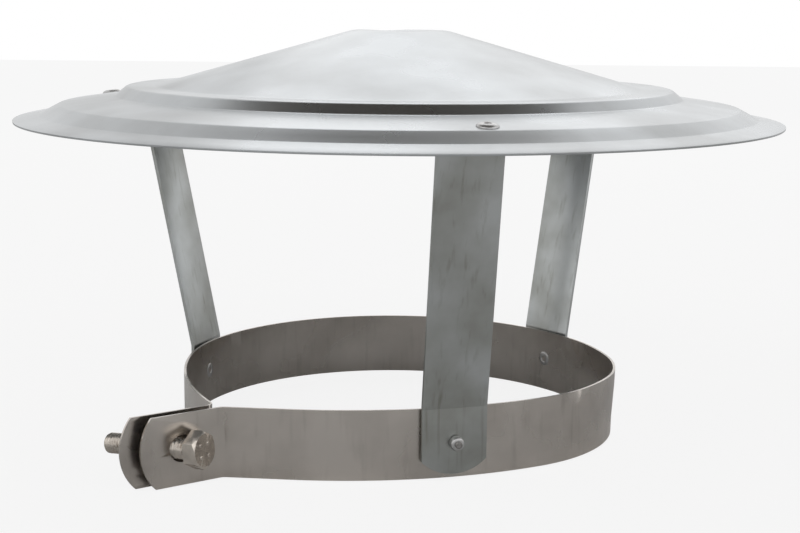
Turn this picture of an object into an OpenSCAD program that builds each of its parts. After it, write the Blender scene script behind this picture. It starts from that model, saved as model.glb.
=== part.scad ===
// Rain cap for a round flue: a stepped round hood on three legs, with a clamp band for the pipe.
// Millimetres. Z is up, the hood's axis is the origin, and the band's lower edge lies at z = 0.

/* [Hood] */
// Radius of the hood's rim
hood_radius = 157.5; // [154:0.5:162]
// Height of the rim's upper edge above the band's lower edge
rim_height = 131.5; // [128:0.1:136]
// Sheet thickness of the hood
hood_sheet = 0.8; // [0.6:0.1:1.2]
// Height of the round flat top above the rim
hood_rise = 36.1; // [33:0.1:40]
// Depth of the dish in the flat top
top_dish = 0.9; // [0.3:0.1:1.5]
// Radius of the rounding at the steps
step_round = 2.2; // [1.5:0.1:2.6]

/* [Clamp band] */
// Inside radius of the band's round part, half of the pipe's diameter
pipe_radius = 90; // [88:0.5:92]
// Width of the band's strip
band_width = 27.5; // [25:0.5:30]
// Thickness of the band's strip
band_sheet = 1.0; // [0.8:0.1:1.2]
// Gap between the two ears
ear_gap = 6; // [5:0.25:7]
// Radius of the bolt holes in the ears
ear_hole_radius = 5.25; // [5.1:0.05:5.5]
// Radius of the ears' rounded ends
ear_end_radius = 20.6; // [19:0.1:23]

/* [Legs] */
// Width of a leg's strip
leg_width = 26; // [25:0.5:28]
// Thickness of a leg's strip
leg_sheet = 1.5; // [1.2:0.1:1.7]
// Outward lean of the two rear legs in degrees
rear_lean = 10.8; // [10:0.1:12]
// Outward lean of the front leg in degrees
front_lean = 10.8; // [10:0.1:12]
// Height of the lower bend
lower_bend = 28; // [26:0.5:31]
// Distance from the hood's axis to the end of a top tab
tab_reach = 138.2; // [137:0.1:138.4]

/* [Rivets] */
// Radius of a rivet's flange
flange_radius = 4; // [3.6:0.1:4.4]
// Radius of a rivet's shank
shank_radius = 2; // [1.8:0.1:2.2]
// Distance of the hood rivets from the hood's axis
rivet_circle = 134.2; // [131:0.2:134.4]
// Height of the band rivets
band_rivet_height = 14.5; // [13.5:0.5:16]

/* [Bolt and nut] */
// Width of bolt head and nut across flats
across_flats = 13; // [12.5:0.1:13]
// Radius of the bolt's shank
bolt_radius = 4; // [3.9:0.01:4.02]
// Length of the bolt's shank
bolt_length = 40; // [38:1:45]
// Height of the bolt's head
head_height = 5.3; // [5:0.1:5.6]
// Height of the nut
nut_height = 6.5; // [6:0.1:6.8]
// Radius of the nut's bore
nut_bore = 4.05; // [4.05:0.01:4.08]

/* [Hidden] */
$fn = 96;

GALVANISED = [0.71, 0.72, 0.73];
ZINC = [0.66, 0.69, 0.70];
STAINLESS = [0.74, 0.71, 0.68];
DARK_STEEL = [0.45, 0.44, 0.42];

// Upper face of the hood from the centre to the rim, as [radius, height].
land_fall = 0.143;
rim_z = rim_height;
top_z = rim_height + hood_rise;
land_1_z = rim_z + 13;
land_2_in = [117.1, rim_z + 9.2];
land_2_out = [139.5, rim_z + 9.2 - 22.4 * land_fall];
hood_face = [
    [0, top_z - top_dish],
    [9, top_z - 0.7 * top_dish],
    [19.3, top_z],
    [100.5, land_1_z],
    [112.5, land_1_z],
    land_2_in,
    land_2_out,
    [147, rim_z + 2],
    [hood_radius, rim_z],
];
land_angle = atan(land_fall);
land_2_z = land_2_in[1] - (rivet_circle - land_2_in[0]) * land_fall;

// The band's inner face in plan. Each step is [length along the path, turn in degrees].
// The first list starts on the round part and runs clockwise in front to the near ear. It is
// written as its own mirror image, so both lists run counter-clockwise.
// The second list runs counter-clockwise at the left to the far ear.
start_azimuth = 25.2;
round_turn = 151.7;
ear_azimuth = 215;
bend_radius = 3;
near_bow = [
    [117.4 * 15.3 * PI / 180, 15.3],
    [70 * 70.7 * PI / 180, 70.7],
    [161.6 * 35 * PI / 180, 35],
];
far_bow = [[149.6 * 29 * PI / 180, 29]];
end_azimuth = start_azimuth + round_turn;
near_start = [pipe_radius * cos(start_azimuth), -pipe_radius * sin(start_azimuth), 90 - start_azimuth];
far_start = [pipe_radius * cos(end_azimuth), pipe_radius * sin(end_azimuth), 90 + end_azimuth];

// Place and heading [x, y, heading] after one step, and after the first n steps of a path.
function stepped(f, s) =
    s[1] == 0
    ? [f[0] + s[0] * cos(f[2]), f[1] + s[0] * sin(f[2]), f[2]]
    : let(r = s[0] / s[1] * 180 / PI)
      [f[0] + r * (sin(f[2] + s[1]) - sin(f[2])), f[1] - r * (cos(f[2] + s[1]) - cos(f[2])), f[2] + s[1]];
function after(f, steps, n) = n == 0 ? f : stepped(after(f, steps, n - 1), steps[n - 1]);
function ended(f, steps) = after(f, steps, len(steps));
function bend(turn, r) = [abs(turn) * r * PI / 180, turn];

// Both ears run along ear_azimuth. Their distance from the origin is measured along ear_out, and
// the straight run before each bend is as long as that distance needs.
ear_out = [-sin(ear_azimuth), cos(ear_azimuth)];
near_plane = 28.85;
far_plane = near_plane - ear_gap;
near_out = [ear_out[0], -ear_out[1]];
near_turn = -ear_azimuth - ended(near_start, near_bow)[2] + 360;
far_turn = ear_azimuth - ended(far_start, far_bow)[2];
function plane_of(f, out) = f[0] * out[0] + f[1] * out[1];
function run_to(f, steps, turn, out, plane) =
    let(e = ended(f, steps), one = ended(f, concat(steps, [bend(turn, bend_radius)])))
    (plane - plane_of(one, out)) / (cos(e[2]) * out[0] + sin(e[2]) * out[1]);
near_run = run_to(near_start, near_bow, near_turn, near_out, near_plane);
far_run = run_to(far_start, far_bow, far_turn, ear_out, far_plane);
near_curve = concat(near_bow, [[near_run, 0], bend(near_turn, bend_radius)]);
far_curve = concat(far_bow, [[far_run, 0], bend(far_turn, bend_radius)]);
near_ear = ended(near_start, near_curve);
far_ear = ended(far_start, far_curve);
near_apex = 134.9;
far_apex = 140.8;
near_length = near_apex + 3 - near_ear[0] * cos(ear_azimuth) + near_ear[1] * sin(ear_azimuth);
far_length = far_apex + 3 - far_ear[0] * cos(ear_azimuth) - far_ear[1] * sin(ear_azimuth);
near_steps = concat(near_curve, [[near_length, 0]]);
far_steps = concat(far_curve, [[far_length, 0]]);

// Bolt axis: through the near ear's hole, rising towards the head.
bolt_azimuth = -29;
bolt_rise = 5;
bolt_dir = [cos(bolt_rise) * cos(bolt_azimuth), cos(bolt_rise) * sin(bolt_azimuth), sin(bolt_rise)];
hole_along = 117.9;
hole_height = 14.2;
near_middle = near_plane + band_sheet / 2;
near_hole = [
    hole_along * cos(ear_azimuth) + near_middle * ear_out[0],
    hole_along * sin(ear_azimuth) + near_middle * ear_out[1],
    hole_height,
];
plane_rate = bolt_dir[0] * ear_out[0] + bolt_dir[1] * ear_out[1];
ear_spacing = (ear_gap + band_sheet) / plane_rate;
far_along = hole_along - ear_spacing * cos(bolt_rise) * cos(bolt_azimuth - ear_azimuth);
far_height = hole_height - ear_spacing * sin(bolt_rise);
head_seat = 10.1 - head_height;
nut_seat = ear_spacing + band_sheet / 2 / plane_rate + 3.75;

// A leg stands in its own frame: X outward and square to the foot, Z up.
// Each list is [azimuth of X, distance of the foot, sideways place, sway, lean, gap under the hood].
seat_gap = 0.03;
front_bow = after(near_start, near_bow, 2);
front_spot = stepped(front_bow, [161.6 * 12.7 * PI / 180, 12.7]);
front_azimuth = 90 - front_spot[2];
front_plane = front_spot[0] * cos(front_azimuth) - front_spot[1] * sin(front_azimuth);
LEFT = [160.6, pipe_radius + band_sheet + seat_gap, -0.5, 1.9, rear_lean, 0.15];
FRONT = [front_azimuth, front_plane + band_sheet + seat_gap, -2.2, -1.1, front_lean, 0.25];
RIGHT = [39.9, pipe_radius + band_sheet + seat_gap, 0, 1.0, rear_lean, 0.15];
foot_round = 18.25;
foot_low = 2;
leg_bend = 4;
left_rivet = [161.5, pipe_radius - 0.1];
right_rivet = [38.9, pipe_radius - 0.1];
front_rivet_side = -1.9;

// Round every corner of an open outline.
function unit(v) = v / norm(v);
function corner(a, b, c, r) =
    let(
        u = unit(b - a),
        v = unit(c - b),
        turn = atan2(u[0] * v[1] - u[1] * v[0], u * v),
        cut = r * tan(abs(turn) / 2),
        side = sign(turn),
        from = b - cut * u,
        centre = from + side * r * [-u[1], u[0]],
        n = max(2, ceil(abs(turn) / 12))
    )
    [
        for (i = [0:n])
            let(t = turn * i / n, w = from - centre)
            centre + [w[0] * cos(t) - w[1] * sin(t), w[0] * sin(t) + w[1] * cos(t)]
    ];
function softened(p, r) = concat(
    [p[0]],
    [for (i = [1:len(p) - 2]) each corner(p[i - 1], p[i], p[i + 1], r)],
    [p[len(p) - 1]]
);
function side_of(a, b) = let(u = unit(b - a)) [u[1], -u[0]];

// Push an open outline that runs outwards to its lower side, with mitred corners.
function lowered(p, t) =
    let(last = len(p) - 1, sides = [for (i = [0:last - 1]) side_of(p[i], p[i + 1])])
    concat(
        [p[0] - [0, t]],
        [for (i = [1:last - 1]) p[i] + t * (sides[i - 1] + sides[i]) / (1 + sides[i - 1] * sides[i])],
        [p[last] + t * sides[last - 1]]
    );
function reversed(p) = [for (i = [len(p) - 1:-1:0]) p[i]];

// Outline of a strip that follows a path. The path is the strip's left edge. The long arcs are
// divided every 3 degrees and the tight bends every 12.
function pieces(s) = s[1] == 0 ? 1 : ceil(abs(s[1]) / (s[0] > 20 ? 3 : 12));
function frames(f, steps) = concat([f], [
    for (i = [0:len(steps) - 1])
        let(g = after(f, steps, i), n = pieces(steps[i]))
        for (k = [1:n]) stepped(g, steps[i] * (k / n))
]);
function edge_point(f, d) = [f[0] + d * sin(f[2]), f[1] - d * cos(f[2])];
function strip_outline(f, steps, t) =
    let(all = frames(f, steps))
    concat([for (g = all) edge_point(g, 0)], reversed([for (g = all) edge_point(g, t)]));

// The same with a thinner tongue that reaches back into the round part, so that both become one piece.
function tongued_outline(f, steps, t) =
    let(
        back = stepped(f, -1 * [1, 1 / pipe_radius * 180 / PI]),
        first = stepped(f, steps[0] * (0.3 / steps[0][0])),
        all = frames(f, steps),
        later = concat([first], [for (i = [1:len(all) - 1]) all[i]])
    )
    concat(
        [edge_point(back, 0.15)],
        [for (g = later) edge_point(g, 0)],
        reversed([for (g = later) edge_point(g, t)]),
        [edge_point(back, t - 0.15)]
    );

// Seat of a hood rivet: on the upper face of the second land, Z outward along its normal.
module at_hood_rivet(azimuth) {
    rotate(azimuth) translate([rivet_circle, 0, land_2_z]) rotate([0, land_angle, 0]) children();
}

// Seat of a band rivet: on the band's inner face, Z towards the hood's axis.
module at_band_rivet(azimuth, distance, side) {
    rotate(azimuth) translate([distance, side, band_rivet_height]) rotate([0, -90, 0]) children();
}

module at_left_band_rivet() at_band_rivet(left_rivet[0], left_rivet[1], 0) children();
module at_right_band_rivet() at_band_rivet(right_rivet[0], right_rivet[1], 0) children();
module at_front_band_rivet() at_band_rivet(front_azimuth, front_plane - 0.1, front_rivet_side) children();

module rivet_hole() {
    translate([0, 0, -6]) cylinder(r = shank_radius + 0.05, h = 12);
}

module hood() {
    color(GALVANISED)
        difference() {
            rotate_extrude()
                polygon(concat(
                    softened(hood_face, step_round),
                    reversed(lowered(softened(hood_face, step_round), hood_sheet))
                ));
            at_hood_rivet(282.5) rivet_hole();
            at_hood_rivet(42.5) rivet_hole();
            at_hood_rivet(162.5) rivet_hole();
        }
}

// Frame of the ears: X along the ears, Y out of the near ear, Z up.
module at_ears(x, y) {
    rotate(ear_azimuth) translate([x, y, 0]) children();
}

// What is cut away around an ear's rounded end.
module ear_end(apex, middle) {
    at_ears(apex - ear_end_radius, middle)
        difference() {
            translate([0, -2, -5]) cube([40, 4, band_width + 10]);
            translate([0, 0, band_width / 2 + 0.8]) rotate([90, 0, 0])
                cylinder(r = ear_end_radius, h = 6, center = true);
        }
}

module ear_hole(x, y, z) {
    at_ears(x, y) translate([0, 0, z]) rotate([90, 0, 0])
        cylinder(r = ear_hole_radius, h = 4, center = true);
}

module clamp_band() {
    color(STAINLESS)
        difference() {
            union() {
                rotate(start_azimuth) rotate_extrude(angle = round_turn)
                    translate([pipe_radius, 0]) square([band_sheet, band_width]);
                mirror([0, 1, 0]) linear_extrude(band_width)
                    polygon(tongued_outline(near_start, near_steps, band_sheet));
                linear_extrude(band_width)
                    polygon(tongued_outline(far_start, far_steps, band_sheet));
            }
            ear_end(near_apex, near_middle);
            ear_end(far_apex, far_plane - band_sheet / 2);
            ear_hole(hole_along, near_middle, hole_height);
            ear_hole(far_along, far_plane - band_sheet / 2, far_height);
            at_left_band_rivet() rivet_hole();
            at_right_band_rivet() rivet_hole();
            at_front_band_rivet() rivet_hole();
        }
}

// Leg of bent strip: its side view given a width, then cut to its front view.
// The path of the side view is the inner face of the foot and the upper face of the tab.
module leg_body(p) {
    low_turn = -p[4];
    high_turn = -land_angle - 90 + p[4];
    foot_rise = lower_bend - leg_bend * tan(p[4] / 2);
    foot = [p[1], 0, 90];
    f0 = ended(foot, [[foot_rise, 0], bend(low_turn, leg_bend)]);
    f1 = stepped(f0, bend(high_turn, leg_bend));
    under = land_2_in[1] + land_2_in[0] * land_fall - hood_sheet * sqrt(1 + land_fall * land_fall) - p[5];
    rise = (under - f1[1] - f1[0] * land_fall) / (sin(f0[2]) + cos(f0[2]) * land_fall);
    f2 = stepped(f0, [rise, 0]);
    f3 = stepped(f2, bend(high_turn, leg_bend));
    tab = (tab_reach - f3[0]) / cos(land_angle);
    steps = [[foot_rise, 0], bend(low_turn, leg_bend), [rise, 0], bend(high_turn, leg_bend), [tab, 0]];
    drift = rise * tan(p[3]);
    half = leg_width / 2;
    round_middle = foot_low + foot_round;
    round_half = asin(half / foot_round);
    rotate(p[0]) translate([0, p[2], 0])
        intersection() {
            translate([0, half + 10, 0]) rotate([90, 0, 0])
                linear_extrude(leg_width + 20) polygon(strip_outline(foot, steps, leg_sheet));
            rotate([90, 0, 90])
                linear_extrude(tab_reach + 10)
                    polygon(concat(
                        [
                            for (i = [0:16])
                                let(a = -round_half + i * round_half / 8)
                                [foot_round * sin(a), round_middle - foot_round * cos(a)]
                        ],
                        [
                            [half, lower_bend],
                            [half + drift, f2[1]],
                            [half + drift, top_z],
                            [drift - half, top_z],
                            [drift - half, f2[1]],
                            [-half, lower_bend],
                        ]
                    ));
        }
}

module leg_left() {
    color(ZINC)
        difference() {
            leg_body(LEFT);
            at_left_band_rivet() rivet_hole();
            at_hood_rivet(162.5) rivet_hole();
        }
}

module leg_front() {
    color(ZINC)
        difference() {
            leg_body(FRONT);
            at_front_band_rivet() rivet_hole();
            at_hood_rivet(282.5) rivet_hole();
        }
}

module leg_right() {
    color(ZINC)
        difference() {
            leg_body(RIGHT);
            at_right_band_rivet() rivet_hole();
            at_hood_rivet(42.5) rivet_hole();
        }
}

// Blind rivet with an open core: flange above z = 0, grip below it, then the bulb.
core_radius = 1.2;
hood_grip = hood_sheet + leg_sheet + 0.4;
band_grip = band_sheet + leg_sheet + 0.35;
module blind_rivet(grip) {
    color(ZINC)
        rotate_extrude()
            polygon([
                [core_radius, -grip - 3.4],
                [core_radius, 0.95],
                [1.5, 1.2],
                [2.6, 1.1],
                [flange_radius - 0.5, 0.75],
                [flange_radius, 0.35],
                [flange_radius, 0],
                [shank_radius, 0],
                [shank_radius, -grip],
                [2.75, -grip - 0.3],
                [2.75, -grip - 2.7],
                [2.3, -grip - 3.4],
            ]);
}

// End of the drawn mandrel that stays in the rivet.
module mandrel_stub(grip) {
    color(DARK_STEEL)
        rotate_extrude()
            polygon([
                [0, -grip - 4.6],
                [1, -grip - 4.6],
                [1.4, -grip - 4.2],
                [1.4, -grip - 3.45],
                [core_radius - 0.05, -grip - 3.45],
                [core_radius - 0.05, -0.3],
                [0, -0.1],
            ]);
}

module hood_rivet_front() at_hood_rivet(282.5) blind_rivet(hood_grip);
module hood_rivet_right() at_hood_rivet(42.5) blind_rivet(hood_grip);
module hood_rivet_left() at_hood_rivet(162.5) blind_rivet(hood_grip);
module hood_mandrel_front() at_hood_rivet(282.5) mandrel_stub(hood_grip);
module hood_mandrel_right() at_hood_rivet(42.5) mandrel_stub(hood_grip);
module hood_mandrel_left() at_hood_rivet(162.5) mandrel_stub(hood_grip);
module band_rivet_left() at_left_band_rivet() blind_rivet(band_grip);
module band_rivet_front() at_front_band_rivet() blind_rivet(band_grip);
module band_rivet_right() at_right_band_rivet() blind_rivet(band_grip);
module band_mandrel_left() at_left_band_rivet() mandrel_stub(band_grip);
module band_mandrel_front() at_front_band_rivet() mandrel_stub(band_grip);
module band_mandrel_right() at_right_band_rivet() mandrel_stub(band_grip);

module at_bolt(distance) {
    translate(near_hole + distance * bolt_dir) rotate([0, 90 - bolt_rise, bolt_azimuth]) children();
}

// Hexagon prism from z = 0, with its corners turned off at one or both ends.
module hexagon(h, both) {
    corner_radius = across_flats / sqrt(3);
    cut = (corner_radius - 0.47 * across_flats) * tan(30);
    intersection() {
        cylinder(r = corner_radius, h = h, $fn = 6);
        rotate_extrude()
            polygon([
                [0, 0],
                [both ? 0.47 * across_flats : corner_radius + 1, 0],
                [corner_radius, both ? cut : 0],
                [corner_radius, h - cut],
                [0.47 * across_flats, h],
                [0, h],
            ]);
    }
}

module clamp_bolt() {
    color(STAINLESS) {
        at_bolt(head_seat) {
            hexagon(head_height, false);
            for (a = [45:90:315])
                rotate(a) translate([3.2, 0, head_height - 0.2]) cylinder(r = 0.6, h = 0.45);
        }
        at_bolt(head_seat - bolt_length) {
            cylinder(r1 = bolt_radius - 0.8, r2 = bolt_radius, h = 0.8);
            translate([0, 0, 0.8]) cylinder(r = bolt_radius, h = bolt_length - 0.8 + 0.5);
        }
    }
}

module clamp_nut() {
    color(STAINLESS)
        at_bolt(-nut_seat - nut_height)
            difference() {
                hexagon(nut_height, true);
                translate([0, 0, -1]) cylinder(r = nut_bore, h = nut_height + 2);
            }
}

hood();
leg_left();
leg_front();
leg_right();
clamp_band();
hood_rivet_front();
hood_rivet_right();
hood_rivet_left();
hood_mandrel_front();
hood_mandrel_right();
hood_mandrel_left();
band_rivet_left();
band_rivet_front();
band_rivet_right();
band_mandrel_left();
band_mandrel_front();
band_mandrel_right();
clamp_bolt();
clamp_nut();
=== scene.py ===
# %% [markdown]
# # A rain cap for a flue pipe
# The object is a thin stepped hood on three riveted legs, with a loose clamp band under it.
# The frame that is loaded first is the measured part: its nodes give every place and size.
# What a photograph shows closely, such as soft bends, rolled edges and the thread, is
# modelled again here and stands for the plain node. The small hidden pieces keep their nodes.

import math

import bpy
from mathutils import Matrix, Vector


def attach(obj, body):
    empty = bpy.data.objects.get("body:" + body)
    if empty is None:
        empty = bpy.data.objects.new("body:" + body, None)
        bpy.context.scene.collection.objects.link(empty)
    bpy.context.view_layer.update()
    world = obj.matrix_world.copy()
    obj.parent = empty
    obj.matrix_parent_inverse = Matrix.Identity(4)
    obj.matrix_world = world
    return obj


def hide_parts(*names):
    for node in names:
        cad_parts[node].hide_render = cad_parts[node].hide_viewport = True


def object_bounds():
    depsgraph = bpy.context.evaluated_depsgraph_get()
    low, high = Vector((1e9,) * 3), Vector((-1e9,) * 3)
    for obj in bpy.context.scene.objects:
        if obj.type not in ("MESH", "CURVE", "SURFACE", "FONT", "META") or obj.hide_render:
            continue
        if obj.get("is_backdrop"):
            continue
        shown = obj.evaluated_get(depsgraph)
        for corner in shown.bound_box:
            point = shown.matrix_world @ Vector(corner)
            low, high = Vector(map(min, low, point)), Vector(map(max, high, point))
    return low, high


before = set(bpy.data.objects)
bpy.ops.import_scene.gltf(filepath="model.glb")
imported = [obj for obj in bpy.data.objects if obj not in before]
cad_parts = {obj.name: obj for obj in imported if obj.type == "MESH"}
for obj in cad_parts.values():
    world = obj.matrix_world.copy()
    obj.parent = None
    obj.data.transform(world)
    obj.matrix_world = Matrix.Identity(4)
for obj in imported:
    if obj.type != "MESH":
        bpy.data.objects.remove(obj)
cad_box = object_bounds()
MM = 0.001

# %% [markdown]
# ## Small tools
# An operator works on all that is selected, so each step begins by clearing the selection.
# A new piece is made active, shaped in edit mode, and finished with modifiers that are applied.
# Its place is then written into its mesh, so that patterns in object space stay where they are.

# %% Selecting and finishing
def clear_selection():
    if bpy.context.mode != "OBJECT":
        bpy.ops.object.mode_set(mode="OBJECT")
    bpy.ops.object.select_all(action="DESELECT")


def make_active(piece):
    clear_selection()
    piece.select_set(True)
    bpy.context.view_layer.objects.active = piece


def pick(piece, rule, kind="VERT"):
    """In edit mode, select only the vertices, edges or faces that a rule on their middle accepts."""
    bpy.ops.mesh.select_mode(type=kind)
    bpy.ops.mesh.select_all(action="DESELECT")
    bpy.ops.object.mode_set(mode="OBJECT")
    mesh = piece.data
    if kind == "VERT":
        for v in mesh.vertices:
            v.select = bool(rule(v.co))
    elif kind == "EDGE":
        for e in mesh.edges:
            ends = [mesh.vertices[i].co for i in e.vertices]
            e.select = all(rule(c) for c in ends)
    else:
        for f in mesh.polygons:
            f.select = bool(rule(f.center))
    bpy.ops.object.mode_set(mode="EDIT")


def apply_modifier(piece, kind, **settings):
    make_active(piece)
    modifier = piece.modifiers.new(kind.lower(), kind)
    for key, value in settings.items():
        setattr(modifier, key, value)
    bpy.ops.object.modifier_apply(modifier=modifier.name)


def write_place(piece):
    make_active(piece)
    bpy.ops.object.transform_apply(location=True, rotation=True, scale=True)


def face_outwards(piece):
    make_active(piece)
    bpy.ops.object.mode_set(mode="EDIT")
    bpy.ops.mesh.select_all(action="SELECT")
    bpy.ops.mesh.remove_doubles(threshold=1e-6)
    bpy.ops.mesh.normals_make_consistent(inside=False)
    bpy.ops.object.mode_set(mode="OBJECT")


def soften(piece, width, segments=2, angle=35, smooth=35):
    """Break the sharp edges as a tumbled or worn edge is, then shade smoothly across the rest."""
    apply_modifier(
        piece, "BEVEL", width=width * MM, segments=segments, limit_method="ANGLE", angle_limit=math.radians(angle)
    )
    make_active(piece)
    bpy.ops.object.shade_smooth_by_angle(angle=math.radians(smooth))


def stand_in(piece, body, slot, *nodes):
    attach(piece, body)
    if nodes:
        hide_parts(*nodes)
    places = [v.co for v in piece.data.vertices]
    size = [max(c[k] for c in places) - min(c[k] for c in places) for k in range(3)]
    print(piece.name, len(piece.data.polygons), "faces, size in mm", [round(1000 * s, 1) for s in size])


def lone_vertex(name, place):
    """Start a profile: a tiny plane merged to one vertex, ready to be extruded along."""
    clear_selection()
    bpy.ops.mesh.primitive_plane_add(size=MM, location=(0, 0, 0))
    piece = bpy.context.object
    piece.name = name
    bpy.ops.object.mode_set(mode="EDIT")
    bpy.ops.mesh.select_mode(type="VERT")
    bpy.ops.mesh.select_all(action="SELECT")
    bpy.ops.mesh.merge(type="CENTER")
    bpy.ops.transform.translate(value=place)
    return piece


def turned(name, profile, steps=64):
    """Turn a profile of (radius, height) in millimetres once round Z, as on a lathe."""
    piece = lone_vertex(name, (profile[0][0] * MM, 0, profile[0][1] * MM))
    for a, b in zip(profile, profile[1:]):
        step = ((b[0] - a[0]) * MM, 0, (b[1] - a[1]) * MM)
        bpy.ops.mesh.extrude_vertices_move(TRANSFORM_OT_translate={"value": step})
    bpy.ops.mesh.select_all(action="SELECT")
    bpy.ops.mesh.spin(steps=steps, angle=2 * math.pi, center=(0, 0, 0), axis=(0, 0, 1))
    bpy.ops.object.mode_set(mode="OBJECT")
    face_outwards(piece)
    return piece


def corner_arc(a, b, c, radius, pieces=6):
    """Points that round the corner b of the path a, b, c."""
    a, b, c = Vector(a), Vector(b), Vector(c)
    u, v = (b - a).normalized(), (c - b).normalized()
    turn = math.atan2(u.x * v.y - u.y * v.x, u.dot(v))
    cut = radius * math.tan(abs(turn) / 2)
    start = b - cut * u
    side = 1 if turn > 0 else -1
    centre = start + side * radius * Vector((-u.y, u.x))
    arm = start - centre
    points = []
    for i in range(pieces + 1):
        t = turn * i / pieces
        points.append(
            (
                centre.x + arm.x * math.cos(t) - arm.y * math.sin(t),
                centre.y + arm.x * math.sin(t) + arm.y * math.cos(t),
            )
        )
    return points


def rounded(profile, radii):
    """A profile whose corners are rounded, each with its own radius. A radius of 0 keeps the corner."""
    points = [profile[0]]
    for a, b, c, r in zip(profile, profile[1:], profile[2:], radii):
        points += corner_arc(a, b, c, r) if r else [b]
    return points + [profile[-1]]

# %% [markdown]
# ## Cutting one piece with another
# A hole or a rounded end is cut as a workshop would cut it, by a second solid that is taken
# away. The Boolean modifier does that, and the cutter is deleted afterwards.

# %% Boolean helper
def cut(piece, cutter, operation="DIFFERENCE"):
    apply_modifier(piece, "BOOLEAN", object=cutter, operation=operation, solver="EXACT")
    bpy.data.objects.remove(cutter, do_unlink=True)


def rod(radius, length, steps=64):
    """A cylinder along Z that serves as a cutter, centred on the origin."""
    clear_selection()
    bpy.ops.mesh.primitive_cylinder_add(vertices=steps, radius=radius * MM, depth=length * MM)
    return bpy.context.object


def block(size):
    clear_selection()
    bpy.ops.mesh.primitive_cube_add(size=1)
    piece = bpy.context.object
    piece.scale = [s * MM for s in size]
    write_place(piece)
    return piece


def placed(piece, matrix):
    piece.matrix_world = matrix
    write_place(piece)
    return piece


def shift(x=0, y=0, z=0):
    return Matrix.Translation((x * MM, y * MM, z * MM))


def turn(degrees, axis):
    return Matrix.Rotation(math.radians(degrees), 4, axis)


# %% [markdown]
# ## The hood
# The hood is one disc of galvanised sheet, spun over a form: a small flat top, a wide cone and
# two steps down to a flat flange. A lathe profile turned once round the axis is the natural
# way to make it. Each bend has its own radius, because a spun bend is never sharp.

# %% Turning the hood
RIM_Z = 131.5
TOP_Z = 167.6
SHEET = 0.8
HOOD_PROFILE = [
    (0.0, TOP_Z - 0.9),
    (9.0, TOP_Z - 0.63),
    (19.3, TOP_Z),
    (100.5, 144.5),
    (112.5, 144.5),
    (117.1, 140.7),
    (139.5, 137.5),
    (147.0, 133.5),
    (157.5, RIM_Z),
]
HOOD_BENDS = [6, 14, 8, 3.0, 2.4, 3.6, 3.4]


def subdivided(points, longest):
    """Add points on long stretches, so that later dents have something to move."""
    out = [points[0]]
    for a, b in zip(points, points[1:]):
        n = max(1, math.ceil(math.dist(a, b) / longest))
        out += [(a[0] + (b[0] - a[0]) * i / n, a[1] + (b[1] - a[1]) * i / n) for i in range(1, n + 1)]
    return out


hood = turned("hood_shell", subdivided(rounded(HOOD_PROFILE, HOOD_BENDS), 6), steps=224)
print("hood surface:", len(hood.data.vertices), "vertices")

# %% [markdown]
# A pressed top is never quite even. Single vertices are pushed a fraction of a millimetre, and
# proportional editing lets the neighbourhood follow, as a thumb would dent the sheet.

# %% Soft dents
def dent(piece, place, push, reach):
    make_active(piece)
    bpy.ops.object.mode_set(mode="EDIT")
    target = Vector(place) * MM
    nearest = min((v.co - target).length for v in piece.data.vertices)
    pick(piece, lambda co: (co - target).length <= nearest + 1e-6)
    bpy.ops.transform.translate(
        value=[p * MM for p in push],
        use_proportional_edit=True,
        proportional_edit_falloff="SMOOTH",
        proportional_size=reach * MM,
    )
    bpy.ops.object.mode_set(mode="OBJECT")


for place, push, reach in (
    ((-12.0, 2.0, TOP_Z), (0, 0, 0.3), 8),
    ((11.5, -1.0, TOP_Z), (0, 0, 0.28), 8),
    ((0.0, 0.0, TOP_Z), (0, 0, -0.5), 9),
    ((4.0, -17.0, TOP_Z), (0, 0, -0.35), 10),
    ((-6.0, 16.0, TOP_Z), (0, 0, -0.45), 12),
    ((45.0, -40.0, 155.0), (0, 0, -0.25), 22),
    ((-60.0, -25.0, 154.0), (0, 0, 0.22), 24),
    ((-30.0, 60.0, 154.0), (0, 0, -0.3), 26),
):
    dent(hood, place, push, reach)

apply_modifier(hood, "SOLIDIFY", thickness=SHEET * MM, offset=-1)
soften(hood, 0.12, segments=2, angle=50, smooth=40)
stand_in(hood, "cap", "galvanised_sheet", "hood")

# %% [markdown]
# ## The clamp band
# The band is one strip of stainless sheet, bent into a ring with two ears. Its path in plan is
# a chain of arcs: round at the back, pressed flatter in front, where the loosened clamp lets
# it spring. The path is drawn first, pulled up to the strip's width, and given its thickness.

# %% The path of the strip
BAND_WIDTH = 27.5
BAND_SHEET = 1.0
PIPE_RADIUS = 90.0
ROUND_START = 25.2
ROUND_TURN = 151.7
EAR_AZIMUTH = 215.0
NEAR_PLANE = 28.85
EAR_GAP = 6.0
NEAR_APEX = 134.9
FAR_APEX = 140.8
EAR_END_RADIUS = 20.6


def stepped(f, length, bend):
    """Go on from a place and heading by a straight length, or along an arc of that length."""
    x, y, h = f
    r = math.radians
    if bend == 0:
        return (x + length * math.cos(r(h)), y + length * math.sin(r(h)), h)
    radius = length / r(bend)
    return (
        x + radius * (math.sin(r(h + bend)) - math.sin(r(h))),
        y - radius * (math.cos(r(h + bend)) - math.cos(r(h))),
        h + bend,
    )


def arc(radius, bend):
    return (abs(math.radians(bend)) * radius, bend)


def walk(start, steps, fine=2.0, tight=8.0):
    """All the places along a path of (length, bend) steps, arcs divided into short pieces."""
    places = [start]
    for length, bend in steps:
        n = 1 if bend == 0 else math.ceil(abs(bend) / (fine if length > 20 else tight))
        first = places[-1]
        places += [stepped(first, length * k / n, bend * k / n) for k in range(1, n + 1)]
    return places


EAR_ALONG = Vector((math.cos(math.radians(EAR_AZIMUTH)), math.sin(math.radians(EAR_AZIMUTH))))
EAR_OUT = Vector((-EAR_ALONG.y, EAR_ALONG.x))


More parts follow.
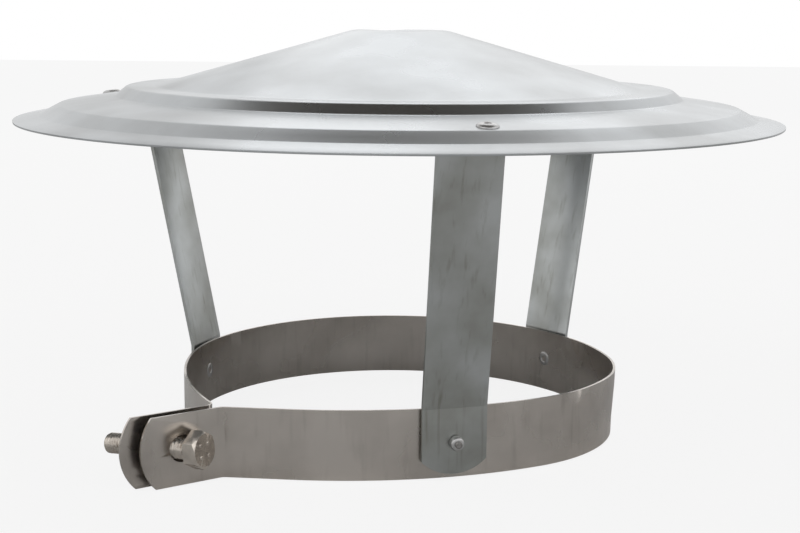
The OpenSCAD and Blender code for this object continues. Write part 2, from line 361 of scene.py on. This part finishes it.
def ear_run(start, bow, out, plane, ear_heading, bend_radius=3.0):
    """The steps of one end of the strip: its bow, a straight run, the bend and the ear."""
    end = walk(start, bow)[-1]
    bend = (ear_heading - end[2] + 180) % 360 - 180
    turned_end = stepped(end, *arc(bend_radius, bend))
    heading = math.radians(end[2])
    rate = math.cos(heading) * out[0] + math.sin(heading) * out[1]
    run = (plane - turned_end[0] * out[0] - turned_end[1] * out[1]) / rate
    return bow + [(run, 0), arc(bend_radius, bend)]


def on_ring(azimuth, mirrored=False):
    a = math.radians(azimuth)
    side = -1 if mirrored else 1
    return (PIPE_RADIUS * math.cos(a), side * PIPE_RADIUS * math.sin(a), (90 - azimuth) if mirrored else azimuth + 90)


near_start = on_ring(ROUND_START, mirrored=True)
near_bow = [arc(117.4, 15.3), arc(70, 70.7), arc(161.6, 35)]
near_steps = ear_run(near_start, near_bow, (EAR_OUT.x, -EAR_OUT.y), NEAR_PLANE, -EAR_AZIMUTH)
far_start = on_ring(ROUND_START + ROUND_TURN)
far_steps = ear_run(far_start, [arc(149.6, 29)], EAR_OUT, NEAR_PLANE - EAR_GAP, EAR_AZIMUTH)

near_end = walk(near_start, near_steps)[-1]
far_end = walk(far_start, far_steps)[-1]
near_steps.append((NEAR_APEX + 2 - Vector((near_end[0], -near_end[1])).dot(EAR_ALONG), 0))
far_steps.append((FAR_APEX + 2 - Vector((far_end[0], far_end[1])).dot(EAR_ALONG), 0))

near_path = [(x, -y) for x, y, _ in walk(near_start, near_steps)]
far_path = [(x, y) for x, y, _ in walk(far_start, far_steps)]
ring_path = [on_ring(ROUND_START + ROUND_TURN * k / 75)[:2] for k in range(1, 75)]
band_path = near_path[::-1] + ring_path + far_path
print("band path:", len(band_path), "places")

# %% Pulling up the strip
def sheet_from_path(name, path, rises):
    """Draw a path on the floor plane and extrude it upwards in the given rises, in millimetres."""
    piece = lone_vertex(name, (path[0][0] * MM, path[0][1] * MM, 0))
    for a, b in zip(path, path[1:]):
        bpy.ops.mesh.extrude_vertices_move(TRANSFORM_OT_translate={"value": ((b[0] - a[0]) * MM, (b[1] - a[1]) * MM, 0)})
    bpy.ops.mesh.select_all(action="SELECT")
    for rise in rises:
        bpy.ops.mesh.extrude_region_move(TRANSFORM_OT_translate={"value": (0, 0, rise * MM)})
    bpy.ops.object.mode_set(mode="OBJECT")
    return piece


def thicken(piece, thickness, outwards):
    """Give a sheet its thickness on the side that the vector outwards points to, at its first face."""
    face = piece.data.polygons[0]
    side = 1 if face.normal.dot(Vector(outwards)) > 0 else -1
    apply_modifier(piece, "SOLIDIFY", thickness=thickness * MM, offset=side)


band = sheet_from_path("band_strip", band_path, [BAND_WIDTH / 4] * 4)
print("band sheet:", len(band.data.polygons), "faces")

# %% [markdown]
# At the right the strip leans: its upper edge stands a little further out than the lower one.
# A few upper vertices are pulled out and the neighbourhood follows.

# %% The lean of the strip
def lean(piece, azimuth, low_z, push, reach):
    a = math.radians(azimuth)
    make_active(piece)
    bpy.ops.object.mode_set(mode="EDIT")
    pick(piece, lambda co: co.z > low_z * MM and abs(math.atan2(co.y, co.x) - a) < 0.3 and co.length > 0.05)
    bpy.ops.transform.translate(
        value=(push * MM * math.cos(a), push * MM * math.sin(a), 0),
        use_proportional_edit=True,
        proportional_edit_falloff="SMOOTH",
        proportional_size=reach * MM,
    )
    bpy.ops.object.mode_set(mode="OBJECT")


lean(band, 4, 24, 1.2, 26)

# %% Thickness, rounded ear ends and bolt holes
thicken(band, BAND_SHEET, (EAR_OUT.x, EAR_OUT.y, 0))


def at_ears(along, out, z):
    return turn(EAR_AZIMUTH, "Z") @ shift(along, out, z)


BOLT_AZIMUTH = -29.0
BOLT_RISE = 5.0
BOLT_DIR = Vector(
    (
        math.cos(math.radians(BOLT_RISE)) * math.cos(math.radians(BOLT_AZIMUTH)),
        math.cos(math.radians(BOLT_RISE)) * math.sin(math.radians(BOLT_AZIMUTH)),
        math.sin(math.radians(BOLT_RISE)),
    )
)
NEAR_MIDDLE = NEAR_PLANE + BAND_SHEET / 2
FAR_MIDDLE = NEAR_PLANE - EAR_GAP - BAND_SHEET / 2
HOLE_ALONG = 117.9
HOLE_Z = 14.2
ear_spacing = (EAR_GAP + BAND_SHEET) / BOLT_DIR.to_2d().dot(EAR_OUT)
far_along = HOLE_ALONG - ear_spacing * BOLT_DIR.to_2d().dot(EAR_ALONG)
far_z = HOLE_Z - ear_spacing * BOLT_DIR.z

for apex, middle in ((NEAR_APEX, NEAR_MIDDLE), (FAR_APEX, FAR_MIDDLE)):
    corner = block((40, 5, 40))
    placed(corner, at_ears(apex - EAR_END_RADIUS + 20, middle, BAND_WIDTH / 2))
    disc = placed(rod(EAR_END_RADIUS, 12, 160), at_ears(apex - EAR_END_RADIUS, middle, 14.55) @ turn(90, "X"))
    cut(corner, disc)
    cut(band, corner)
for along, middle, z in ((HOLE_ALONG, NEAR_MIDDLE, HOLE_Z), (far_along, FAR_MIDDLE, far_z)):
    cut(band, placed(rod(5.25, 4), at_ears(along, middle, z) @ turn(90, "X")))
face_outwards(band)
soften(band, 0.16, segments=2, angle=40, smooth=30)
stand_in(band, "cap", "stainless_band", "clamp_band")

# %% [markdown]
# ## The legs
# Each leg is one strip: a flat foot with a rounded end on the band, a bend, a long run that
# leans outwards, and a tab that lies under the hood. A disc is trimmed to the foot, and its
# upper edge is then pulled along the leg's path.

# %% Making a leg
LEG_WIDTH = 26.0
LEG_SHEET = 1.5
FOOT_ROUND = 18.25
FOOT_LOW = 2.0
LOWER_BEND = 28.0
LEG_BEND = 4.0
TAB_REACH = 138.2
LAND_FALL = 0.143
LAND_ANGLE = math.degrees(math.atan(LAND_FALL))


def make_leg(name, azimuth, plane, aside, sway, lean_out, gap):
    high = -LAND_ANGLE - 90 + lean_out
    rise_1 = LOWER_BEND - LEG_BEND * math.tan(math.radians(lean_out / 2))
    foot = (plane, 0.0, 90.0)
    f0 = walk(foot, [(rise_1, 0), arc(LEG_BEND, -lean_out)])[-1]
    f1 = stepped(f0, *arc(LEG_BEND, high))
    under = 140.7 + 117.1 * LAND_FALL - SHEET * math.hypot(1, LAND_FALL) - gap
    heading = math.radians(f0[2])
    run = (under - f1[1] - f1[0] * LAND_FALL) / (math.sin(heading) + math.cos(heading) * LAND_FALL)
    drift = run * math.tan(math.radians(sway))
    f3 = stepped(stepped(f0, run, 0), *arc(LEG_BEND, high))
    tab = (TAB_REACH - f3[0]) / math.cos(math.radians(LAND_ANGLE))

    clear_selection()
    bpy.ops.mesh.primitive_circle_add(
        vertices=160,
        radius=FOOT_ROUND * MM,
        fill_type="NGON",
        location=(plane * MM, 0, (FOOT_LOW + FOOT_ROUND) * MM),
        rotation=(0, math.pi / 2, 0),
    )
    piece = bpy.context.object
    piece.name = name
    write_place(piece)
    bpy.ops.object.mode_set(mode="EDIT")
    for co, no in (
        ((0, LEG_WIDTH / 2 * MM, 0), (0, 1, 0)),
        ((0, -LEG_WIDTH / 2 * MM, 0), (0, -1, 0)),
        ((0, 0, rise_1 * MM), (0, 0, 1)),
    ):
        bpy.ops.mesh.select_all(action="SELECT")
        bpy.ops.mesh.bisect(plane_co=co, plane_no=no, clear_outer=True, use_fill=False, threshold=1e-7)
    pick(piece, lambda co: abs(co.z - rise_1 * MM) < 1e-5, "EDGE")

    path = walk(foot, [(rise_1, 0), arc(LEG_BEND, -lean_out)], tight=2.5)[1:]
    path += [stepped(f0, run * k / 12, 0) for k in range(1, 13)]
    path += walk(path[-1], [arc(LEG_BEND, high), (tab, 0)], tight=8)[1:]
    for k, (a, b) in enumerate(zip(path, path[1:])):
        bend_points = math.ceil(lean_out / 2.5)
        aside_step = drift / 12 if bend_points <= k < bend_points + 12 else 0
        step = ((b[0] - a[0]) * MM, aside_step * MM, (b[1] - a[1]) * MM)
        bpy.ops.mesh.extrude_region_move(TRANSFORM_OT_translate={"value": step})
    bpy.ops.object.mode_set(mode="OBJECT")
    foot_face = min(piece.data.polygons, key=lambda f: f.center.z)
    side = 1 if foot_face.normal.x > 0 else -1
    apply_modifier(piece, "SOLIDIFY", thickness=LEG_SHEET * MM, offset=side)
    placed(piece, turn(azimuth, "Z") @ shift(0, aside, 0))
    soften(piece, 0.2, segments=2, angle=40, smooth=30)
    print(name, "run", round(run, 2), "mm, tab", round(tab, 2), "mm")
    return piece


front_spot = walk(near_start, near_bow[:2] + [arc(161.6, 12.7)])[-1]
FRONT_AZIMUTH = 90 - front_spot[2]
c, s = math.cos(math.radians(FRONT_AZIMUTH)), math.sin(math.radians(FRONT_AZIMUTH))
FRONT_PLANE = front_spot[0] * c - front_spot[1] * s
SEAT = PIPE_RADIUS + BAND_SHEET + 0.03
LEG_PLACES = {
    "left": (160.6, SEAT, -0.5, 1.9, 10.8, 0.15),
    "front": (FRONT_AZIMUTH, FRONT_PLANE + BAND_SHEET + 0.03, -2.2, -1.1, 10.8, 0.25),
    "right": (39.9, SEAT, 0.0, 1.0, 10.8, 0.15),
}
legs = {}
for side, numbers in LEG_PLACES.items():
    legs[side] = make_leg(f"leg_{side}_strip", *numbers)
    stand_in(legs[side], "cap", "zinc_strip", f"leg_{side}")

# %% [markdown]
# ## The rivets
# Six blind rivets hold the sheet together: a low dome with an open core on one side, and a
# bulb on the other where the mandrel was drawn in. One is turned for each thickness that it
# grips, and the others are copies with their own meshes.

# %% Turning and placing the rivets
RIVET_CIRCLE = 134.2
LAND_2_Z = 140.7 - (RIVET_CIRCLE - 117.1) * LAND_FALL


def rivet_profile(grip):
    return [
        (1.2, -grip - 3.4),
        (1.2, 0.85),
        (1.3, 1.05),
        (1.55, 1.18),
        (2.1, 1.2),
        (2.8, 1.08),
        (3.4, 0.82),
        (3.85, 0.45),
        (4.0, 0.2),
        (3.95, 0.0),
        (2.0, 0.0),
        (2.0, -grip),
        (2.5, -grip - 0.1),
        (2.75, -grip - 0.4),
        (2.8, -grip - 1.5),
        (2.75, -grip - 2.6),
        (2.5, -grip - 3.2),
        (2.2, -grip - 3.4),
        (1.2, -grip - 3.4),
    ]


def copy_of(piece, name):
    twin = piece.copy()
    twin.data = piece.data.copy()
    twin.name = name
    bpy.context.scene.collection.objects.link(twin)
    return twin


def hood_seat(azimuth):
    return turn(azimuth, "Z") @ shift(RIVET_CIRCLE, 0, LAND_2_Z) @ turn(LAND_ANGLE, "Y")


def band_seat(azimuth, distance, aside):
    return turn(azimuth, "Z") @ shift(distance, aside, 14.5) @ turn(-90, "Y")


RIVET_SEATS = {
    "hood_rivet_front": hood_seat(282.5),
    "hood_rivet_right": hood_seat(42.5),
    "hood_rivet_left": hood_seat(162.5),
    "band_rivet_left": band_seat(161.5, PIPE_RADIUS - 0.1, 0),
    "band_rivet_right": band_seat(38.9, PIPE_RADIUS - 0.1, 0),
    "band_rivet_front": band_seat(FRONT_AZIMUTH, FRONT_PLANE - 0.1, -1.9),
}
patterns = {
    "hood": turned("hood_rivet_pattern", rivet_profile(2.7), steps=48),
    "band": turned("band_rivet_pattern", rivet_profile(2.85), steps=48),
}
rivets = []
for name, seat in RIVET_SEATS.items():
    rivet = copy_of(patterns[name[:4]], name + "_dome")
    placed(rivet, seat)
    make_active(rivet)
    bpy.ops.object.shade_smooth_by_angle(angle=math.radians(50))
    stand_in(rivet, "cap", "rivet_zinc", name)
    rivets.append(rivet)
for pattern in patterns.values():
    bpy.data.objects.remove(pattern, do_unlink=True)

# %% [markdown]
# ## The bolt and the nut
# The clamp is drawn together by a hexagon bolt with a metric thread. The thread is one ridge
# swept along a screw line, cut off square and turned down at its tip. The head and the nut
# are six-sided bars whose corners are turned off, so they are cut by a turned form.

# %% Thread
PITCH = 1.25
BOLT_LENGTH = 40.0
HEAD_HEIGHT = 5.3
NUT_HEIGHT = 6.5
CORNER_RADIUS = 13 / math.sqrt(3)
near_hole = (turn(EAR_AZIMUTH, "Z") @ Vector((HOLE_ALONG, NEAR_MIDDLE, HOLE_Z)))


def at_bolt(distance):
    place = (near_hole + distance * BOLT_DIR) * MM
    return Matrix.Translation(place) @ turn(BOLT_AZIMUTH, "Z") @ turn(90 - BOLT_RISE, "Y")


def thread(name, outer, root, length):
    """A closed threaded rod along Z from -2 pitches to beyond its length."""
    piece = lone_vertex(name, (root * MM, 0, -2 * PITCH * MM))
    for r, z in ((root, 0.16), (outer, 0.58), (outer, 0.74), (root, 1.25)):
        here = piece.data
        bpy.ops.object.mode_set(mode="OBJECT")
        last = here.vertices[len(here.vertices) - 1].co.copy()
        bpy.ops.object.mode_set(mode="EDIT")
        step = (r * MM - last.x, 0, (z - 2 * PITCH) * MM - last.z)
        bpy.ops.mesh.extrude_vertices_move(TRANSFORM_OT_translate={"value": step})
    bpy.ops.object.mode_set(mode="OBJECT")
    turns = math.ceil(length / PITCH) + 4
    apply_modifier(
        piece,
        "SCREW",
        screw_offset=PITCH * MM,
        iterations=turns,
        steps=40,
        render_steps=40,
        use_merge_vertices=True,
        merge_threshold=1e-6,
    )
    make_active(piece)
    bpy.ops.object.mode_set(mode="EDIT")
    bpy.ops.mesh.select_all(action="SELECT")
    bpy.ops.mesh.remove_doubles(threshold=1e-6)
    for z, no in ((0.0113, (0, 0, -1)), (length + 0.0113, (0, 0, 1))):
        bpy.ops.mesh.select_all(action="SELECT")
        bpy.ops.mesh.bisect(plane_co=(0, 0, z * MM), plane_no=no, clear_outer=True, use_fill=True, threshold=1e-7)
    bpy.ops.mesh.select_all(action="SELECT")
    bpy.ops.mesh.normals_make_consistent(inside=False)
    bpy.ops.object.mode_set(mode="OBJECT")
    return piece


shank = thread("bolt_shank", 4.0, 3.42, BOLT_LENGTH + 1)
print("thread:", len(shank.data.polygons), "faces")

# %% Head, shank tip and nut
def hexagon_bar(name, height):
    clear_selection()
    bpy.ops.mesh.primitive_cylinder_add(vertices=6, radius=CORNER_RADIUS * MM, depth=height * MM)
    bar = bpy.context.object
    bar.name = name
    # A cylinder's first corner lies on Y. The corners belong on X, which points down on the bolt.
    placed(bar, turn(30, "Z") @ shift(0, 0, height / 2))
    return bar


def chamfered(name, bar, height, both):
    rise = (CORNER_RADIUS + 0.5 - 6.1) * math.tan(math.radians(30))
    wide = CORNER_RADIUS + 0.5
    low_end = [(0, 0), (6.1, 0), (wide, rise)] if both else [(0, -0.5), (wide, -0.5)]
    profile = low_end + [(wide, height - rise), (6.1, height), (0, height)]
    form = turned(name + "_form", profile, steps=96)
    cut(bar, form, "INTERSECT")
    face_outwards(bar)
    return bar


bolt = chamfered("bolt", hexagon_bar("clamp_bolt_piece", HEAD_HEIGHT), HEAD_HEIGHT, both=False)
tip_profile = [(0, 0), (3.2, 0), (4.05, 0.85), (4.05, BOLT_LENGTH + 0.5), (0, BOLT_LENGTH + 0.5)]
cut(shank, turned("tip_form", tip_profile, steps=64), "INTERSECT")
placed(shank, shift(0, 0, -BOLT_LENGTH))
make_active(shank)
bolt.select_set(True)
bpy.context.view_layer.objects.active = bolt
bpy.ops.object.join()
neck = turned("neck", [(0, -1.6), (3.9, -1.6), (4.0, -1.4), (4.0, -0.6), (4.6, 0.0), (4.6, 0.1), (0, 0.1)], steps=48)
make_active(neck)
bolt.select_set(True)
bpy.context.view_layer.objects.active = bolt
bpy.ops.object.join()
for a in (45, 135, 225, 315):
    mark = turned("head_mark", [(0, -0.1), (0.85, -0.1), (0.7, 0.12), (0.35, 0.22), (0, 0.24)], steps=20)
    placed(mark, turn(a, "Z") @ shift(3.2, 0, HEAD_HEIGHT))
    make_active(mark)
    bolt.select_set(True)
    bpy.context.view_layer.objects.active = bolt
    bpy.ops.object.join()
placed(bolt, at_bolt(10.1 - HEAD_HEIGHT))
soften(bolt, 0.08, segments=2, angle=25, smooth=32)
stand_in(bolt, "bolt", "stainless_bolt", "clamp_bolt")

nut_seat = ear_spacing + BAND_SHEET / 2 / BOLT_DIR.to_2d().dot(EAR_OUT) + 3.75
nut = chamfered("nut", hexagon_bar("clamp_nut_piece", NUT_HEIGHT), NUT_HEIGHT, both=True)
bore_form = [(0, -1), (5.1, -1), (5.1, -0.05), (4.05, 0.75), (4.05, NUT_HEIGHT - 0.75), (5.1, NUT_HEIGHT + 0.05)]
bore_form += [(5.1, NUT_HEIGHT + 1), (0, NUT_HEIGHT + 1)]
cut(nut, turned("bore_form", bore_form, steps=64))
placed(nut, at_bolt(-nut_seat - NUT_HEIGHT))
face_outwards(nut)
soften(nut, 0.08, segments=2, angle=25, smooth=32)
stand_in(nut, "nut", "stainless_bolt", "clamp_nut")


# %% [markdown]
# ## Finishes
# Each finish is a bare metal. What changes over the surface is slight: broad mottling in the
# colour, and fine scratches in roughness and relief. The colour maths is written as plain
# expressions on sockets, which a small class turns into Math nodes.

# %% A socket that takes part in expressions
class Value:
    def __init__(self, finish, socket):
        self.finish, self.socket = finish, socket

    def math(self, kind, other, swap=False):
        node = self.finish.nodes.new("ShaderNodeMath")
        node.operation = kind
        pair = (other, self) if swap else (self, other)
        for slot_in, item in zip(node.inputs, pair):
            if isinstance(item, Value):
                self.finish.links.new(item.socket, slot_in)
            else:
                slot_in.default_value = item
        return Value(self.finish, node.outputs[0])

    def __add__(self, other):
        return self.math("ADD", other)

    def __radd__(self, other):
        return self.math("ADD", other, swap=True)

    def __sub__(self, other):
        return self.math("SUBTRACT", other)

    def __rsub__(self, other):
        return self.math("SUBTRACT", other, swap=True)

    def __mul__(self, other):
        return self.math("MULTIPLY", other)

    def __rmul__(self, other):
        return self.math("MULTIPLY", other, swap=True)


class Finish:
    """A metal finish whose nodes are made one by one."""

    def __init__(self, name):
        self.material = bpy.data.materials.new(name)
        self.material.use_nodes = True
        self.nodes = self.material.node_tree.nodes
        self.links = self.material.node_tree.links
        self.shader = self.nodes["Principled BSDF"]
        self.place = self.node("ShaderNodeTexCoord", output="Object")

    def node(self, kind, settings=None, output=0, **inputs):
        node = self.nodes.new(kind)
        for key, value in (settings or {}).items():
            if key == "stops":
                for stop, (at, colour) in zip(node.color_ramp.elements, value):
                    stop.position, stop.color = at, colour
            else:
                setattr(node, key, value)
        for key, value in inputs.items():
            socket = node.inputs[key.replace("_", " ")]
            if isinstance(value, Value):
                self.links.new(value.socket, socket)
            else:
                socket.default_value = value
        return Value(self, node.outputs[output])

    def feed(self, **inputs):
        for key, value in inputs.items():
            socket = self.shader.inputs[key.replace("_", " ")]
            if isinstance(value, Value):
                self.links.new(value.socket, socket)
            else:
                socket.default_value = value

    def noise(self, scale, stretch=(1, 1, 1), turned=(0, 0, 0), detail=3.0):
        turned = [math.radians(t) for t in turned]
        place = self.node("ShaderNodeMapping", Vector=self.place, Rotation=turned, Scale=stretch)
        return self.node("ShaderNodeTexNoise", Vector=place, Scale=scale, Detail=detail)

    def narrow(self, value, low, high):
        return self.node("ShaderNodeMapRange", {"clamp": True}, Value=value, **{"From_Min": low, "From_Max": high})


def metal(name, light, dark, shine, mottle=22.0, scratch=0.35, along=(1, 1, 0.06), turned=(0, 0, 0), relief=0.05):
    """Two near tones mixed by broad mottling, with directional scratches over them."""
    finish = Finish(name)
    patches = finish.narrow(finish.noise(mottle, detail=4.0), 0.38, 0.66)
    scores = finish.narrow(finish.noise(420.0, along, turned, 4.0), 0.56, 0.74)
    tone = patches * (1 - scratch) + scores * scratch
    colour = finish.node(
        "ShaderNodeValToRGB", {"stops": [(0.0, (*light, 1)), (1.0, (*dark, 1))]}, Fac=tone
    )
    bump = finish.node("ShaderNodeBump", Height=scores, Strength=relief, Distance=0.0002)
    rough = finish.narrow(patches, -1.2, 2.2) * 0.22 + (shine - 0.11)
    finish.feed(Base_Color=colour, Roughness=rough, Metallic=1.0, Normal=bump)
    return finish.material


finishes = {
    "galvanised_sheet": metal(
        "galvanised sheet", (0.50, 0.52, 0.535), (0.38, 0.39, 0.395), 0.30, mottle=16.0, scratch=0.12, relief=0.03
    ),
    "zinc_strip": metal(
        "zinc strip", (0.50, 0.52, 0.52), (0.25, 0.25, 0.22), 0.33, mottle=30.0, scratch=0.35, turned=(0, 40, 30), relief=0.12
    ),
    "stainless_band": metal(
        "stainless band", (0.60, 0.56, 0.52), (0.38, 0.35, 0.32), 0.27, mottle=26.0, scratch=0.25, along=(1, 1, 0.1)
    ),
    "rivet_zinc": metal("rivet zinc", (0.52, 0.52, 0.52), (0.38, 0.37, 0.36), 0.36, mottle=300.0, scratch=0.1),
    "mandrel_steel": metal("broken steel", (0.30, 0.29, 0.28), (0.16, 0.15, 0.14), 0.5, mottle=600.0, scratch=0.1),
    "stainless_bolt": metal("stainless bolt", (0.62, 0.57, 0.51), (0.42, 0.38, 0.34), 0.25, mottle=160.0, scratch=0.15),
}

# %% Giving each piece its finish
def dress(piece, slot):
    piece.data.materials.clear()
    piece.data.materials.append(finishes[slot])


dress(hood, "galvanised_sheet")
dress(band, "stainless_band")
dress(bolt, "stainless_bolt")
dress(nut, "stainless_bolt")
for piece in legs.values():
    dress(piece, "zinc_strip")
for piece in rivets:
    dress(piece, "rivet_zinc")
for name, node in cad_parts.items():
    if "mandrel" in name:
        dress(node, "mandrel_steel")
print("dressed", len(finishes), "finishes")

# %% [markdown]
# ## Camera
# The camera stands where the photograph was taken from, a little above the band and looking
# down by ten degrees.

# %% Camera
def aimed(place, yaw, pitch, roll):
    ahead = Vector((math.sin(yaw) * math.cos(pitch), math.cos(yaw) * math.cos(pitch), -math.sin(pitch)))
    level = Vector((math.cos(yaw), -math.sin(yaw), 0))
    below = ahead.cross(level)
    right = math.cos(roll) * level + math.sin(roll) * below
    down = -math.sin(roll) * level + math.cos(roll) * below
    matrix = Matrix((right, -down, -ahead)).transposed().to_4x4()
    matrix.translation = place
    return matrix


clear_selection()
bpy.ops.object.camera_add()
camera = bpy.context.object
camera.matrix_world = aimed(Vector((-0.00181, -0.6266, 0.1779)), 0.0043, 0.1741, -0.0094)
camera.data.sensor_width = 36
camera.data.lens = 67.0
camera.data.clip_start = 0.01
bpy.context.scene.camera = camera

# %% [markdown]
# ## Floor and light
# The background is white to the camera and in reflections. The lamps are large and soft, and
# the world lights the object at a plain level, so that the metal shows a pale room.

# %% Floor, world and lamps
clear_selection()
bpy.ops.mesh.primitive_plane_add(size=8, location=(0, 0, -0.0005))
floor = bpy.context.object
floor.name = "pale_floor"
floor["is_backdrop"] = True
paper = Finish("pale floor")
paper.feed(Base_Color=(0.86, 0.86, 0.86, 1), Roughness=0.9)
# The camera sees mostly plain white there, and enough of the lit floor to keep the shadow.
glow = paper.node("ShaderNodeEmission", Strength=1.0)
seen = paper.node("ShaderNodeLightPath", output="Is Camera Ray")
lit = Value(paper, paper.shader.outputs[0])
blend = paper.nodes.new("ShaderNodeMixShader")
for pin, value in zip(blend.inputs, (seen * 0.86, lit, glow)):
    paper.links.new(value.socket, pin)
paper.links.new(blend.outputs[0], paper.nodes["Material Output"].inputs["Surface"])
floor.data.materials.append(paper.material)

world = bpy.data.worlds.new("studio")
bpy.context.scene.world = world
world.use_nodes = True
nodes, links = world.node_tree.nodes, world.node_tree.links
room = nodes["Background"]
room.inputs["Color"].default_value = (1, 1, 1, 1)
room.inputs["Strength"].default_value = 0.55
white = nodes.new("ShaderNodeBackground")
white.inputs["Color"].default_value = (1, 1, 1, 1)
white.inputs["Strength"].default_value = 1.0
rays = nodes.new("ShaderNodeLightPath")
choice = nodes.new("ShaderNodeMixShader")
plain = rays.outputs["Is Camera Ray"]
for kind in ("Is Glossy Ray", "Is Transmission Ray"):
    either = nodes.new("ShaderNodeMath")
    either.operation = "MAXIMUM"
    links.new(plain, either.inputs[0])
    links.new(rays.outputs[kind], either.inputs[1])
    plain = either.outputs[0]
links.new(plain, choice.inputs["Fac"])
links.new(room.outputs[0], choice.inputs[1])
links.new(white.outputs[0], choice.inputs[2])
links.new(choice.outputs[0], nodes["World Output"].inputs["Surface"])


def lamp(name, place, size, power):
    clear_selection()
    bpy.ops.object.light_add(type="AREA", location=place)
    light = bpy.context.object
    light.name = name
    light.data.size = size
    light.data.energy = power
    light.rotation_euler = (Vector((0, 0, 0.08)) - Vector(place)).to_track_quat("-Z", "Y").to_euler()
    return light


lamp("key_lamp", (-0.9, -1.0, 1.3), 1.1, 3.6)
lamp("fill_lamp", (1.2, -0.7, 0.8), 1.2, 1.6)
lamp("back_lamp", (0.2, 1.3, 1.1), 1.2, 2.2)
bpy.context.scene.view_settings.view_transform = "Standard"

# %% [markdown]
# A dim ceiling hangs over the lamps, as a workshop's would. The hood's steps look straight up,
# so it is what they mirror, and they stand out darker than the flat lands between them.

# %% The ceiling
clear_selection()
bpy.ops.mesh.primitive_plane_add(size=2.0, location=(0, -0.1, 1.7))
ceiling = bpy.context.object
ceiling.name = "dim_ceiling"
ceiling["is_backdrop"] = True
shade = Finish("dim ceiling")
shade.feed(Base_Color=(0.10, 0.085, 0.07, 1), Roughness=1.0)
ceiling.data.materials.append(shade.material)
ceiling.visible_camera = False

# %% [markdown]
# ## Measure the box
# The new box of the dressed part is set beside the box of the solids.

# %% Size and finish
new_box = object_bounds()
for name, before, after in zip(("low", "high"), cad_box, new_box):
    print(name, "corner moved in mm:", [round(1000 * (b - a), 2) for a, b in zip(before, after)])
